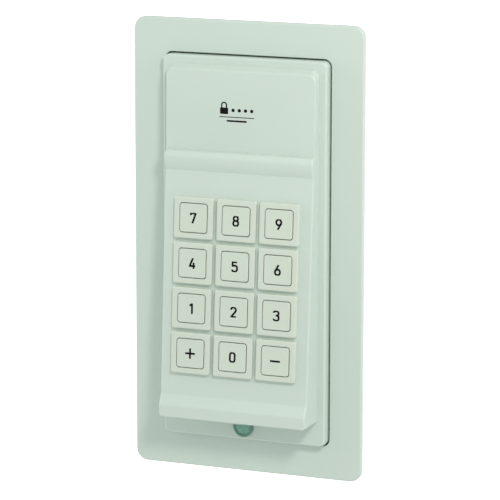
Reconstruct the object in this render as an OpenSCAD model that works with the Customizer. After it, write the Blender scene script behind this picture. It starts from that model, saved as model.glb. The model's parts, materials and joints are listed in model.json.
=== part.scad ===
// Flush-mounted alarm keypad panel: wall box, cover frame, tray, front cover and twelve sprung keys.
// X runs across the panel, Z up the wall, and -Y out of the wall towards the user.
// The origin is the centre of the wall box's rear face.
// Heights named _h are measured out from the wall surface, and places named _z up from the centre.

/* [Keypad] */
// Pitch of the keys, both ways
key_pitch = 19.05; // [17:0.05:23]
// Gap between two neighbouring bezels
bezel_gap = 1.55; // [0.8:0.05:2.5]
// How far a bezel stands out of the keypad face
bezel_proud = 1.85; // [1:0.05:3]
// Width of a bezel's face around its cap
bezel_rim = 2.45; // [2:0.05:3]
// Bevel along a bezel's outer edge
bezel_edge = 0.55; // [0.2:0.05:0.8]
// Gap around a cap in its bezel
cap_gap = 0.3; // [0.25:0.05:0.5]
// How far a cap stands out of its bezel
cap_proud = 0.25; // [0.1:0.05:1]
// Corner radius of a cap
cap_r = 1.0; // [0.6:0.1:1.5]
// Travel of a key
key_travel = 1.8; // [1:0.1:2]
// Radius of a key's guide stem
stem_r = 2.0; // [1.5:0.1:2.2]
// Running clearance around a key's stem
stem_gap = 0.05; // [0.02:0.01:0.1]
// Wire radius of a key's return spring
spring_wire_r = 0.25; // [0.15:0.05:0.3]
// Turns of a key's return spring
spring_turns = 3.5; // [2:0.5:5]

/* [Front cover] */
// Distance from the outer key columns to the side of the raised body
key_margin_x = 14.15; // [12:0.05:30]
// Distance down the keypad face from its top edge to the first row of keys
key_margin_top = 19.6; // [12:0.1:30]
// Distance down the keypad face from the last row of keys to the lip
key_margin_bottom = 18.25; // [12:0.05:30]
// Tilt of the keypad face, its lower end further out
face_tilt = 3.9; // [1:0.1:5]
// Length of the flat panel above the keypad
panel_l = 34.1; // [20:0.1:80]
// Height of the flat panel above the wall
panel_h = 10.7; // [9.5:0.1:12]
// Height of the brow's crest above the wall
brow_h = 13.5; // [13.4:0.1:15]
// Length of the brow, up and down the panel
brow_l = 8.3; // [7.5:0.1:12]
// Radius of the brow's lower flank
brow_fall_r = 12; // [10:0.5:20]
// Length of the lip below the keypad face
lip_l = 9.7; // [7:0.1:14]
// Length of the lip's sloping part
lip_slope_l = 4.5; // [2:0.1:6]
// How far the lip stands out of the keypad face
lip_rise = 2.35; // [1:0.05:4]
// Wall thickness of the cover
cover_t = 2.0; // [1.6:0.1:2.2]
// Corner radius at the top of the raised body
body_r = 3.0; // [2.5:0.1:5]
// Corner radius at the bottom of the raised body
lip_r = 1.2; // [0.8:0.1:2]
// How much each side wall of the raised body leans in
side_draft = 0.5; // [0:0.1:1.2]
// How much the top wall of the raised body leans in
top_draft = 1.6; // [0.5:0.1:3]

/* [Housing] */
// Width of the ledge beside the raised body
ledge_side = 3.2; // [3:0.1:8]
// Width of the ledge above the raised body
ledge_top = 3.5; // [3:0.1:8]
// Width of the ledge below the raised body
ledge_bottom = 10.4; // [10:0.1:20]
// Height of the ledge above the wall
rim_h = 6.4; // [6:0.1:7.5]
// Height of the parting line between tray and cover
seam_h = 4.0; // [3.4:0.1:4.2]
// Corner radius of the housing
housing_r = 2.6; // [1.5:0.1:8]
// Depth of the tray behind the wall surface
tray_depth = 22; // [20:0.5:60]
// Wall thickness of the tray
tray_t = 1.8; // [1.5:0.1:2.5]
// Width of the shelf that the seal lies on
shelf_w = 1.2; // [0.8:0.1:1.5]
// Thickness of the seal
seal_t = 1.0; // [0.6:0.1:1.5]
// Height of the main board's rear face above the tray's floor
board_lift = 6; // [4:0.5:8]
// Thickness of both circuit boards
pcb_t = 1.6; // [1:0.1:2]
// Depth of the key board's front below the keypad face
key_board_depth = 9; // [8.5:0.1:9.5]

/* [Cover frame] */
// Width of the frame's border
frame_border = 14.2; // [10:0.1:30]
// Thickness of the frame
frame_t = 2.5; // [2:0.1:3]
// Outer corner radius of the frame
frame_r = 5.2; // [3:0.1:10]
// Bevel along the frame's outer edge
frame_edge = 0.9; // [0.3:0.1:1.5]
// Gap between the frame and the housing
frame_gap = 0.67; // [0.4:0.01:1.5]
// Depth of the collar behind the frame
collar_l = 6; // [4:0.5:8]
// Thickness of the collar
collar_t = 1.4; // [1:0.1:2]

/* [Wall box] */
// Depth of the box behind the wall surface
box_depth = 28; // [26:0.5:80]
// Wall thickness of the box
box_t = 1.8; // [1.5:0.1:2.5]
// Gap between the collar and the box
box_gap = 0.4; // [0.2:0.05:1]
// Radius of the cable entry
entry_r = 7; // [5:0.5:7]
// Height of the cable entry's axis above the box's rear face
entry_rise = 12; // [10:0.5:13]
// Radius of the holes that fix the box to the wall
fixing_r = 2.25; // [2:0.05:2.6]
// Distance between the fixing holes across the box
fixing_x = 50; // [40:1:52]
// Distance between the fixing holes up the box
fixing_z = 100; // [60:1:110]

/* [Lamp and screws] */
// Radius of the status lamp's lens
lens_r = 4.6; // [3:0.1:4.8]
// Radius of the lens's light guide
guide_r = 2.4; // [2:0.1:3]
// Shank radius of the housing screws
screw_r = 1.4; // [1.2:0.1:1.6]
// Shank radius of the board screws
board_screw_r = 1.0; // [0.8:0.1:1.1]

/* [Hidden] */
$fn = 48;
ROWS = [["7", "8", "9"], ["4", "5", "6"], ["1", "2", "3"], ["plus", "0", "minus"]];
KEYS = [for (row = [0:3]) for (column = [0:2]) [ROWS[row][column], row, column]];

// Cuts run this far past the surfaces they go through.
past = 1;
// Pieces that are screwed in have this clearance around their shanks.
thread_gap = 0.05;

shell_colour = "#cddcd1";
cap_colour = "#d8e0d8";
dark_colour = "#3a3f42";
board_colour = "#2e6a4a";
metal_colour = "#b9bec2";

// Keypad face, from its top edge at the brow down to the lip
face_l = key_margin_top + 3 * key_pitch + key_margin_bottom;
face_z_l = face_l * cos(face_tilt);
brow_r = brow_h - panel_h;
brow_fall_angle = asin((brow_l - brow_r) / brow_fall_r);
face_top_h = brow_h - brow_fall_r * (1 - cos(brow_fall_angle));

// Outline of the housing and of the raised body
body_w = 2 * key_pitch + 2 * key_margin_x;
body_l = top_draft + panel_l + brow_l + face_z_l + lip_l;
housing_w = body_w + 2 * ledge_side;
housing_l = body_l + ledge_top + ledge_bottom;
foot_top_z = housing_l / 2 - ledge_top;
panel_top_z = foot_top_z - top_draft;
brow_top_z = panel_top_z - panel_l;
brow_crest_z = brow_top_z - brow_r;
face_top_z = brow_top_z - brow_l;
lip_top_z = face_top_z - face_z_l;
lip_crest_z = lip_top_z - lip_slope_l;
under_z = lip_top_z - lip_l;
lip_h = face_top_h + face_z_l * tan(face_tilt) + lip_rise;
rim_edge = 0.5;
rim_edge_l = 0.8;

// Tray, tongue of the cover and seal
tray_in_w = housing_w - 2 * tray_t;
tray_in_l = housing_l - 2 * tray_t;
tray_floor_t = 2;
tray_floor_h = -tray_depth + tray_floor_t;
shelf_h = 0;
tongue_gap = 0.15;
seal_gap = 0.1;
tongue_t = 1.2;
tongue_end_h = shelf_h + seal_t;
tongue_w = tray_in_w - 2 * tongue_gap;
tongue_len = tray_in_l - 2 * tongue_gap;
tray_in_r = inner_radius(housing_r, tray_t);
shelf_in_w = tray_in_w - 2 * shelf_w;
shelf_in_l = tray_in_l - 2 * shelf_w;
shelf_r = inner_radius(tray_in_r, shelf_w);
tongue_r = inner_radius(tray_in_r, tongue_gap);
lug_x = 20;
lug_w = 8;
lug_h = tongue_end_h + 0.4;
lug_t = 1.2;
lug_out = 1.0;

// Frame, collar and box
opening_w = housing_w + 2 * frame_gap;
opening_l = housing_l + 2 * frame_gap;
opening_r = housing_r + frame_gap;
frame_w = opening_w + 2 * frame_border;
frame_l = opening_l + 2 * frame_border;
collar_w = opening_w + 2 * collar_t;
collar_len = opening_l + 2 * collar_t;
box_in_w = collar_w + 2 * box_gap;
box_in_l = collar_len + 2 * box_gap;
box_w = box_in_w + 2 * box_t;
box_l = box_in_l + 2 * box_t;
box_r = opening_r + collar_t + box_gap + box_t;
box_floor_t = 2;
box_floor_h = -box_depth + box_floor_t;
barb_z = 45;
barb_l = 8;
barb_h = -4.5;
barb_t = 1.6;

// Screws that hold the tray in the box
base_screw_x = housing_w / 2 - 8.4;
base_screw_z = housing_l / 2 - 11.2;
base_boss_r = 4;
base_screw_l = 4.6;

// Lamp
lens_gap = 0.1;
lens_z = under_z - lens_r - lens_gap;
guide_gap = 0.3;
guide_z = max(lens_z, guide_r + guide_gap - shelf_in_l / 2);
lens_proud = 0.9;
led_h = 3.4;
led_r = 1.5;

// Main board
board_h = tray_floor_h + board_lift;
board_front_h = board_h + pcb_t;
board_side_gap = 1.4;
board_w = shelf_in_w - 2 * board_side_gap;
board_top_z = base_screw_z - 8;
board_low_z = -board_top_z;
board_screw_x = board_w / 2 - 4.5;
board_screw_z = board_top_z - 5;
board_post_r = 3;
board_tongue_w = 24;
board_end_gap = 0.2;
board_tongue_z = board_end_gap - shelf_in_l / 2;

// Parts on the main board
chip_w = 14;
chip_t = 1.8;
chip_lift = 0.4;
chip_z = 5;
pin_pitch = 1.1;
pin_w = 0.4;
sounder_r = 8;
sounder_h = 7.5;
sounder_port_r = 1.2;
relay_size = [12, 20, 10];
relay_mark_r = 0.9;
large_parts_x = 16;
large_parts_z = 28;
terminal_pitch = 5;
terminal_count = 7;
terminal_l = 9;
terminal_h = 10;
terminal_z = board_top_z - 7;
clamp_r = 1.6;
clamp_h = 2.2;
clamp_floor_h = 6;

// Post that the cover screw goes into, inside the lip
post_w = 9;
post_low_z = under_z + cover_t + 0.3;
post_top_z = post_low_z + 8;
cover_screw_h = 12;
post_h = cover_screw_h + 3.5;
cover_screw_l = 8;
cover_screw_head_r = 2.9;
screw_head_l = 1.8;

// Key unit, in its own frame: the keypad face is at zero and outwards is up
bezel_w = key_pitch - bezel_gap;
well_w = bezel_w - 2 * bezel_rim;
well_r = cap_r + cap_gap;
well_wall = 1.2;
sleeve_w = well_w + 2 * well_wall;
sleeve_r = 1;
window_gap = 0.1;
web_top = -4.0;
web_t = 1.5;
chamber_w = sleeve_w - 3.2;
cap_w = well_w - 2 * cap_gap;
cap_top = bezel_proud + cap_proud;
cap_ceiling = 1.0;
cap_wall = 0.9;
cap_edge = 0.35;
skirt_end = web_top + key_travel + 0.3;
dome_h = 0.8;
dome_r = 2.4;
stem_end = -key_board_depth + dome_h + key_travel + 0.15;
spring_r = (stem_r + cap_w / 2 - cap_wall) / 2;

// Key board, with its bosses between the keys
key_board_w = body_w - 2 * cover_t - 2.4;
key_board_margin = 11.5;
key_board_l = 3 * key_pitch + 2 * key_board_margin;
key_board_y = -(key_margin_top + 1.5 * key_pitch);
boss_r = 2.1;
key_board_screw_l = 5;
board_head_r = 1.9;
board_head_l = 1.3;

// Ribbon between the boards
ribbon_w = 16;
ribbon_t = 0.9;
ribbon_bend_r = 3;
connector_w = 20;
connector_l = 5;
connector_main_h = 5.5;
connector_key_h = 3.5;
connector_key_y = key_board_y - key_board_l / 2 + 7;
connector_key_z = face_top_z + connector_key_y * cos(face_tilt);
connector_main_z = connector_key_z + 12;
ribbon_in = 1;
ribbon_gap = 0.1;
ribbon_low_h = board_front_h + connector_main_h - ribbon_in;
key_connector_h = face_height(connector_key_z) - (key_board_depth + pcb_t + connector_key_h) / cos(face_tilt);
ribbon_high_h = key_connector_h + ribbon_in;

// Tamper switch, pressed by a rib of the cover
tamper_x = board_w / 2 - 6;
tamper_z = board_top_z - 15;
tamper_w = 7;
tamper_len = 10;
tamper_h = 8;
plunger_r = 1.5;
plunger_gap = 0.05;
plunger_top_h = 0.5;
plunger_end_h = board_front_h + 3;
rib_r = 2.2;

// Grommet in the tray's floor
grommet_r = 6;
grommet_bore_r = 3.5;
grommet_lip = 1.4;
grommet_z = housing_l / 2 - 11;

// Corner radius of a rounded outline of radius r, inset by e.
function inner_radius(r, e) = max(r - e, 0.5);

// Height of the keypad face above the wall at place z.
function face_height(z) = face_top_h + (face_top_z - z) * tan(face_tilt);

// Side outline of the raised body as [height, place] points, inset by e, standing on height foot.
function body_profile(e, foot) = concat(
    [[foot, foot_top_z - e],
     [panel_h - e, panel_top_z - e],
     [panel_h - e, brow_crest_z + brow_r - e]],
    [for (a = [15:15:90]) [panel_h + (brow_r - e) * sin(a), brow_crest_z + (brow_r - e) * cos(a)]],
    [for (s = [1:5])
        let (a = brow_fall_angle * s / 5)
        [brow_h - brow_fall_r + (brow_fall_r - e) * cos(a), brow_crest_z - (brow_fall_r - e) * sin(a)]],
    [[face_height(lip_top_z) - e, lip_top_z],
     [lip_h - e, lip_crest_z],
     [lip_h - e, under_z + e],
     [foot, under_z + e]]
);

// Places its children in a frame whose z points out of the wall, with zero at height h.
module at_wall(h = 0) {
    translate([0, -(box_depth + h), 0]) rotate([90, 0, 0]) children();
}

// Places its children in the keypad face's frame: the origin at its top edge, y up, z outwards.
module on_face() {
    at_wall(face_top_h) translate([0, face_top_z, 0]) rotate([-face_tilt, 0, 0]) children();
}

// Places its children at one key.
module at_key(key) {
    on_face() translate([(key[2] - 1) * key_pitch, -(key_margin_top + key[1] * key_pitch), 0]) children();
}

// Repeats its children at the four corners of a rectangle.
module four(x, y) {
    for (sx = [-1, 1], sy = [-1, 1]) translate([sx * x, sy * y, 0]) children();
}

module rounded(w, l, r) {
    square([w - 2 * r, l], center = true);
    square([w, l - 2 * r], center = true);
    four(w / 2 - r, l / 2 - r) circle(r = r);
}

module slab(w, l, r, t) {
    linear_extrude(t) rounded(w, l, r);
}

module ring(w, l, r, wall, t) {
    linear_extrude(t) difference() {
        rounded(w, l, r);
        rounded(w - 2 * wall, l - 2 * wall, inner_radius(r, wall));
    }
}

// A slab whose sides lean in by c over its thickness t.
module bevel_slab(w, l, r, c, t) {
    rotate([90, 0, 0]) linear_extrude(l - 2 * r, center = true)
        polygon([[-w / 2, 0], [w / 2, 0], [w / 2 - c, t], [-w / 2 + c, t]]);
    rotate([90, 0, 90]) linear_extrude(w - 2 * r, center = true)
        polygon([[-l / 2, 0], [l / 2, 0], [l / 2 - c, t], [-l / 2 + c, t]]);
    four(w / 2 - r, l / 2 - r) cylinder(r1 = r, r2 = r - c, h = t);
}

// A pan-head screw pointing down, its head's underside at zero.
module screw(r, l, head_r, head_l) {
    translate([0, 0, -l]) cylinder(r = r, h = l);
    difference() {
        cylinder(r = head_r, h = head_l);
        for (a = [0, 90])
            rotate(a) translate([-head_r * 0.6, -head_r * 0.14, head_l / 2])
                cube([head_r * 1.2, head_r * 0.28, head_l]);
    }
}

// Front view of the raised body, inset by e.
module body_outline(e) {
    w = body_w - 2 * e;
    low = under_z + e;
    high = foot_top_z - e;
    r_low = inner_radius(lip_r, e);
    r_high = inner_radius(body_r, e);
    translate([-w / 2 + r_low, low]) square([w - 2 * r_low, r_low]);
    translate([-w / 2, low + r_low]) square([w, high - low - r_low - r_high]);
    translate([-w / 2 + r_high, high - r_high]) square([w - 2 * r_high, r_high]);
    for (side = [-1, 1]) {
        translate([side * (w / 2 - r_low), low + r_low]) circle(r = r_low);
        translate([side * (w / 2 - r_high), high - r_high]) circle(r = r_high);
    }
}

// The raised body as a solid, inset by e, standing on height foot.
module body_block(e, foot) {
    w = body_w - 2 * e;
    intersection() {
        rotate([0, -90, 0]) linear_extrude(body_w + 2, center = true) polygon(body_profile(e, foot));
        translate([0, 0, foot]) linear_extrude(lip_h + 1 - foot) body_outline(e);
        rotate([90, 0, 0]) linear_extrude(2 * housing_l, center = true)
            polygon([[-w / 2, foot], [w / 2, foot], [w / 2, rim_h],
                     [w / 2 - side_draft, lip_h + 1], [-w / 2 + side_draft, lip_h + 1], [-w / 2, rim_h]]);
    }
}

module flush_box() color(dark_colour) {
    difference() {
        union() {
            at_wall(-box_depth) difference() {
                slab(box_w, box_l, box_r, box_depth);
                translate([0, 0, box_floor_t]) slab(box_in_w, box_in_l, box_r - box_t, box_depth);
            }
            at_wall(-box_depth) four(base_screw_x, base_screw_z)
                cylinder(r = base_boss_r, h = box_depth - tray_depth);
        }
        at_wall(-box_depth) {
            four(base_screw_x, base_screw_z) translate([0, 0, box_floor_t])
                cylinder(r = screw_r + thread_gap, h = box_depth);
            four(fixing_x / 2, fixing_z / 2) translate([0, 0, -past])
                cylinder(r = fixing_r, h = box_floor_t + 2 * past);
            translate([0, box_l / 2 - box_t - past, entry_rise]) rotate([-90, 0, 0])
                cylinder(r = entry_r, h = box_t + 2 * past);
        }
        for (side = [-1, 1], z = [-barb_z, barb_z])
            at_wall(barb_h - 0.4) translate([side * (box_in_w + box_t) / 2 - 2 * box_t, z - barb_l / 2 - 0.5, 0])
                cube([4 * box_t, barb_l + 1, barb_t + 0.8]);
    }
}

module cover_frame() color(shell_colour) {
    difference() {
        union() {
            at_wall(0) slab(frame_w, frame_l, frame_r, frame_t - frame_edge);
            at_wall(frame_t - frame_edge) bevel_slab(frame_w, frame_l, frame_r, frame_edge, frame_edge);
            at_wall(-collar_l) slab(collar_w, collar_len, opening_r + collar_t, collar_l + past);
            for (side = [-1, 1], z = [-barb_z, barb_z])
                at_wall(barb_h) translate([side * (collar_w / 2 - 0.2 + (box_gap + 1) / 2), z, barb_t / 2])
                    cube([box_gap + 1.4, barb_l, barb_t], center = true);
        }
        at_wall(-collar_l - past) slab(opening_w, opening_l, opening_r, collar_l + frame_t + 2 * past);
    }
}

module housing_base() color(shell_colour) {
    difference() {
        union() {
            at_wall(-tray_depth) difference() {
                slab(housing_w, housing_l, housing_r, tray_depth + seam_h);
                translate([0, 0, tray_depth + tray_floor_h])
                    slab(shelf_in_w, shelf_in_l, shelf_r, tray_depth);
                translate([0, 0, tray_depth + shelf_h])
                    slab(tray_in_w, tray_in_l, tray_in_r, seam_h + past);
            }
            at_wall(tray_floor_h - past) four(board_screw_x, board_screw_z)
                cylinder(r = board_post_r, h = board_lift + past);
            at_wall(tray_floor_h - past) translate([-post_w / 2, post_low_z, 0])
                cube([post_w, post_top_z - post_low_z, post_h - tray_floor_h + past]);
        }
        at_wall(-tray_depth - past) {
            four(base_screw_x, base_screw_z) cylinder(r = screw_r + 0.3, h = tray_depth);
            translate([0, grommet_z, 0]) cylinder(r = grommet_r, h = tray_depth);
        }
        at_wall(tray_floor_h + 1) four(board_screw_x, board_screw_z)
            cylinder(r = board_screw_r + thread_gap, h = board_lift);
        at_wall(cover_screw_h) translate([0, post_low_z - past, 0]) rotate([-90, 0, 0])
            cylinder(r = screw_r + thread_gap, h = past + cover_screw_l - cover_t);
        for (side = [-1, 1])
            at_wall(lug_h - 0.3) translate([side * lug_x - lug_w / 2 - 0.5, tray_in_l / 2 - past, 0])
                cube([lug_w + 1, past + lug_out + 0.1, lug_t + 0.6]);
    }
}

module base_screws() color(metal_colour)
    at_wall(tray_floor_h) four(base_screw_x, base_screw_z)
        screw(screw_r, base_screw_l, 2.8, screw_head_l);

module cover_seal() color("#2b2d2f")
    at_wall(shelf_h) ring(tray_in_w - 2 * seal_gap, tray_in_l - 2 * seal_gap, tray_in_r, shelf_w - seal_gap, seal_t);

module front_cover() color(shell_colour) {
    difference() {
        union() {
            difference() {
                union() {
                    at_wall(seam_h) slab(housing_w, housing_l, housing_r, rim_h - rim_edge_l - seam_h);
                    at_wall(rim_h - rim_edge_l)
                        bevel_slab(housing_w, housing_l, housing_r, rim_edge, rim_edge_l);
                    at_wall(tongue_end_h) slab(tongue_w, tongue_len, tongue_r, seam_h - tongue_end_h + 0.5);
                    at_wall() body_block(0, rim_h - 0.5);
                    for (side = [-1, 1])
                        at_wall(lug_h) translate([side * lug_x - lug_w / 2, tongue_len / 2 - 0.5, 0])
                            cube([lug_w, 0.5 + lug_out, lug_t]);
                }
                at_wall(tongue_end_h - past)
                    slab(tongue_w - 2 * tongue_t, tongue_len - 2 * tongue_t, inner_radius(tongue_r, tongue_t),
                         rim_h - cover_t - tongue_end_h + past);
                at_wall() body_block(cover_t, seam_h);
            }
            on_face() board_bosses();
            at_wall(plunger_top_h) translate([tamper_x, tamper_z, 0])
                cylinder(r = rib_r, h = panel_h - 0.8 - plunger_top_h);
        }
        for (key = KEYS)
            at_key(key) translate([0, 0, -cover_t - past])
                slab(sleeve_w + 2 * window_gap, sleeve_w + 2 * window_gap, sleeve_r, cover_t + 2 * past);
        on_face() boss_places() translate([0, 0, -key_board_depth - past])
            cylinder(r = board_screw_r + thread_gap, h = key_board_screw_l - pcb_t + past + 0.4);
        at_wall(0) translate([0, guide_z, 0]) cylinder(r = guide_r + 0.1, h = rim_h + past);
        at_wall(cover_screw_h) translate([0, under_z - past, 0]) rotate([-90, 0, 0])
            cylinder(r = screw_r + 0.3, h = cover_t + 2 * past);
    }
}

// Places between the keys, where four of them meet.
module boss_places() {
    for (column = [-0.5, 0.5], row = [0.5:1:2.5])
        translate([column * key_pitch, -(key_margin_top + row * key_pitch), 0]) children();
}

module board_bosses() {
    boss_places() translate([0, 0, -key_board_depth]) cylinder(r = boss_r, h = key_board_depth - cover_t / 2);
}

module cover_screw() color(metal_colour)
    at_wall(cover_screw_h) translate([0, under_z, 0]) rotate([90, 0, 0])
        screw(screw_r, cover_screw_l, cover_screw_head_r, screw_head_l);

module lamp_lens() color("#4f9a83", 0.8)
    at_wall(rim_h) translate([0, lens_z, 0]) {
        cylinder(r = lens_r, h = lens_proud / 2);
        translate([0, 0, lens_proud / 2]) cylinder(r1 = lens_r, r2 = lens_r * 0.85, h = lens_proud / 2);
        guide_l = rim_h - board_front_h - led_h - 0.4;
        translate([0, guide_z - lens_z, -guide_l]) cylinder(r = guide_r, h = guide_l + lens_proud / 4);
    }

module status_led() color("#7fd08a")
    at_wall(board_front_h) translate([0, guide_z, 0]) {
        cylinder(r = led_r + 0.4, h = 1);
        cylinder(r = led_r, h = led_h - led_r);
        translate([0, 0, led_h - led_r]) sphere(r = led_r);
    }

module key_board() color(board_colour)
    on_face() translate([0, key_board_y, -key_board_depth - pcb_t]) difference() {
        slab(key_board_w, key_board_l, 1.5, pcb_t);
        translate([0, -key_board_y, -past]) boss_places() cylinder(r = board_screw_r + 0.2, h = pcb_t + 2 * past);
    }

module key_board_screws() color(metal_colour)
    on_face() boss_places() translate([0, 0, -key_board_depth - pcb_t]) mirror([0, 0, 1])
        screw(board_screw_r, key_board_screw_l, board_head_r, board_head_l);

module contact_domes() color("#c9b26a")
    for (key = KEYS) at_key(key) translate([0, 0, -key_board_depth]) {
        cylinder(r = dome_r, h = dome_h / 2);
        translate([0, 0, dome_h / 2]) cylinder(r1 = dome_r, r2 = dome_r * 0.5, h = dome_h / 2);
    }

module key_housing(key) color(shell_colour) at_key(key) difference() {
    union() {
        slab(bezel_w, bezel_w, 1, bezel_proud - bezel_edge);
        translate([0, 0, bezel_proud - bezel_edge]) bevel_slab(bezel_w, bezel_w, 1, bezel_edge, bezel_edge);
        translate([0, 0, -key_board_depth]) slab(sleeve_w, sleeve_w, sleeve_r, key_board_depth);
    }
    translate([0, 0, web_top]) slab(well_w, well_w, well_r, bezel_proud - web_top + past);
    translate([0, 0, web_top - web_t - past]) cylinder(r = stem_r + stem_gap, h = web_t + 2 * past);
    translate([0, 0, -key_board_depth - past])
        slab(chamber_w, chamber_w, sleeve_r, key_board_depth + web_top - web_t + past);
}

module keycap(key) color(cap_colour) at_key(key) {
    difference() {
        union() {
            translate([0, 0, skirt_end]) slab(cap_w, cap_w, cap_r, cap_top - cap_edge - skirt_end);
            translate([0, 0, cap_top - cap_edge]) bevel_slab(cap_w, cap_w, cap_r, cap_edge, cap_edge);
        }
        translate([0, 0, skirt_end - past])
            slab(cap_w - 2 * cap_wall, cap_w - 2 * cap_wall, cap_r / 2, cap_ceiling - skirt_end + past);
    }
    translate([0, 0, stem_end]) cylinder(r = stem_r, h = cap_ceiling + 0.3 - stem_end);
}

// A round wire wound into a coil from the web up to the cap's ceiling.
module key_spring(key) color(metal_colour) at_key(key) {
    sides = 6;
    steps = 10 * spring_turns;
    low = web_top + spring_wire_r;
    rise = cap_ceiling - spring_wire_r - low;
    rings = [for (i = [0:steps], j = [0:sides - 1])
        let (turn = 360 * spring_turns * i / steps,
             round_wire = 360 * j / sides,
             r = spring_r + spring_wire_r * cos(round_wire))
        [r * cos(turn), r * sin(turn), low + rise * i / steps + spring_wire_r * sin(round_wire)]];
    walls = [for (i = [0:steps - 1], j = [0:sides - 1])
        let (next = (j + 1) % sides)
        [i * sides + j, (i + 1) * sides + j, (i + 1) * sides + next, i * sides + next]];
    polyhedron(rings, concat(walls,
        [[for (j = [0:sides - 1]) j], [for (j = [sides - 1:-1:0]) steps * sides + j]]));
}

module main_board() color(board_colour)
    at_wall(board_h) linear_extrude(pcb_t) difference() {
        union() {
            translate([-board_w / 2, board_low_z]) square([board_w, board_top_z - board_low_z]);
            translate([-board_tongue_w / 2, board_tongue_z])
                square([board_tongue_w, board_low_z - board_tongue_z + past]);
        }
        four(board_screw_x, board_screw_z) circle(r = board_screw_r + 0.2);
        translate([-post_w / 2 - 1, post_low_z - 1]) square([post_w + 2, post_top_z - post_low_z + 2]);
    }

module board_screws() color(metal_colour)
    at_wall(board_front_h) four(board_screw_x, board_screw_z)
        screw(board_screw_r, pcb_t + 4, board_head_r, board_head_l);

module processor_chip() color("#26282a")
    at_wall(board_front_h) translate([0, chip_z, 0]) {
        difference() {
            translate([-chip_w / 2, -chip_w / 2, chip_lift]) cube([chip_w, chip_w, chip_t]);
            translate([2 - chip_w / 2, chip_w / 2 - 2, chip_lift + chip_t - 0.3]) cylinder(r = 0.8, h = past);
        }
        for (i = [-5:5], turn = [0:90:270])
            rotate(turn) translate([i * pin_pitch - pin_w / 2, chip_w / 2 - 0.5, 0]) cube([pin_w, 2, 0.6]);
    }

module sounder() color("#1f2122")
    at_wall(board_front_h) translate([-large_parts_x, large_parts_z, 0]) difference() {
        cylinder(r = sounder_r, h = sounder_h);
        translate([0, 0, sounder_h - 1.5]) cylinder(r = sounder_port_r, h = 1.5 + past);
    }

module relay() color("#d8d5c8")
    at_wall(board_front_h) translate([large_parts_x, large_parts_z, 0]) {
        translate([0, 0, relay_size[2] / 2]) cube(relay_size, center = true);
        translate([0, 3 - relay_size[1] / 2, relay_size[2]]) cylinder(r = relay_mark_r, h = 0.3);
    }

module terminal_places() {
    for (i = [0:terminal_count - 1])
        translate([(i - (terminal_count - 1) / 2) * terminal_pitch, terminal_z, 0]) children();
}

module terminal_block() color("#3f8f6a")
    at_wall(board_front_h) difference() {
        translate([-terminal_count * terminal_pitch / 2, terminal_z - terminal_l / 2, 0])
            cube([terminal_count * terminal_pitch, terminal_l, terminal_h]);
        terminal_places() translate([0, -0.5, clamp_floor_h]) cylinder(r = clamp_r + 0.15, h = terminal_h);
        terminal_places() translate([-1.5, 1.5, 1]) cube([3, terminal_l / 2, 4]);
    }

module terminal_screws() color(metal_colour)
    at_wall(board_front_h) terminal_places() translate([0, -0.5, clamp_floor_h]) difference() {
        cylinder(r = clamp_r, h = clamp_h);
        translate([-past - clamp_r, -0.25, clamp_h - 0.7]) cube([2 * (clamp_r + past), 0.5, 1]);
    }

module tamper_switch() color("#26282a")
    at_wall(board_front_h) translate([tamper_x, tamper_z, 0]) difference() {
        translate([-tamper_w / 2, -tamper_len / 2, 0]) cube([tamper_w, tamper_len, tamper_h]);
        translate([0, 0, 1.5]) cylinder(r = plunger_r + plunger_gap, h = tamper_h);
    }

module tamper_plunger() color("#e6e2d4")
    at_wall(plunger_end_h) translate([tamper_x, tamper_z, 0])
        cylinder(r = plunger_r, h = plunger_top_h - plunger_end_h);

module ribbon_connectors() color("#26282a") difference() {
    union() {
        at_wall(board_front_h) translate([-connector_w / 2, connector_main_z - connector_l / 2, 0])
            cube([connector_w, connector_l, connector_main_h]);
        on_face() translate([-connector_w / 2, connector_key_y - connector_l / 2,
                             -key_board_depth - pcb_t - connector_key_h])
            cube([connector_w, connector_l, connector_key_h]);
    }
    at_wall() rotate([0, -90, 0]) linear_extrude(ribbon_w + 2 * ribbon_gap, center = true) ribbon_slots();
}

// Side view of the two slots that the ribbon's ends stand in.
module ribbon_slots() {
    slot_t = ribbon_t + 2 * ribbon_gap;
    for (place = [[ribbon_low_h, connector_main_z], [ribbon_high_h - 2 * ribbon_in, connector_key_z]])
        translate([place[0], place[1] - slot_t / 2]) square([2 * ribbon_in, slot_t]);
}

// Side view of the ribbon: out of the lower connector, two quarter bends, into the upper one.
module ribbon_side() {
    middle_h = (ribbon_low_h + ribbon_high_h) / 2;
    bend_z = connector_main_z - connector_key_z - 2 * ribbon_bend_r;
    translate([ribbon_low_h, connector_main_z - ribbon_t / 2])
        square([middle_h - ribbon_bend_r - ribbon_low_h, ribbon_t]);
    translate([middle_h - ribbon_bend_r, connector_main_z - ribbon_bend_r]) quarter(0);
    translate([middle_h - ribbon_t / 2, connector_key_z + ribbon_bend_r]) square([ribbon_t, bend_z]);
    translate([middle_h + ribbon_bend_r, connector_key_z + ribbon_bend_r]) quarter(180);
    translate([middle_h + ribbon_bend_r, connector_key_z - ribbon_t / 2])
        square([ribbon_high_h - middle_h - ribbon_bend_r, ribbon_t]);
}

module quarter(turn) {
    rotate(turn) intersection() {
        difference() {
            circle(r = ribbon_bend_r + ribbon_t / 2);
            circle(r = ribbon_bend_r - ribbon_t / 2);
        }
        square(2 * ribbon_bend_r);
    }
}

module ribbon_cable() color("#8d9296")
    at_wall() rotate([0, -90, 0]) linear_extrude(ribbon_w, center = true) ribbon_side();

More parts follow.
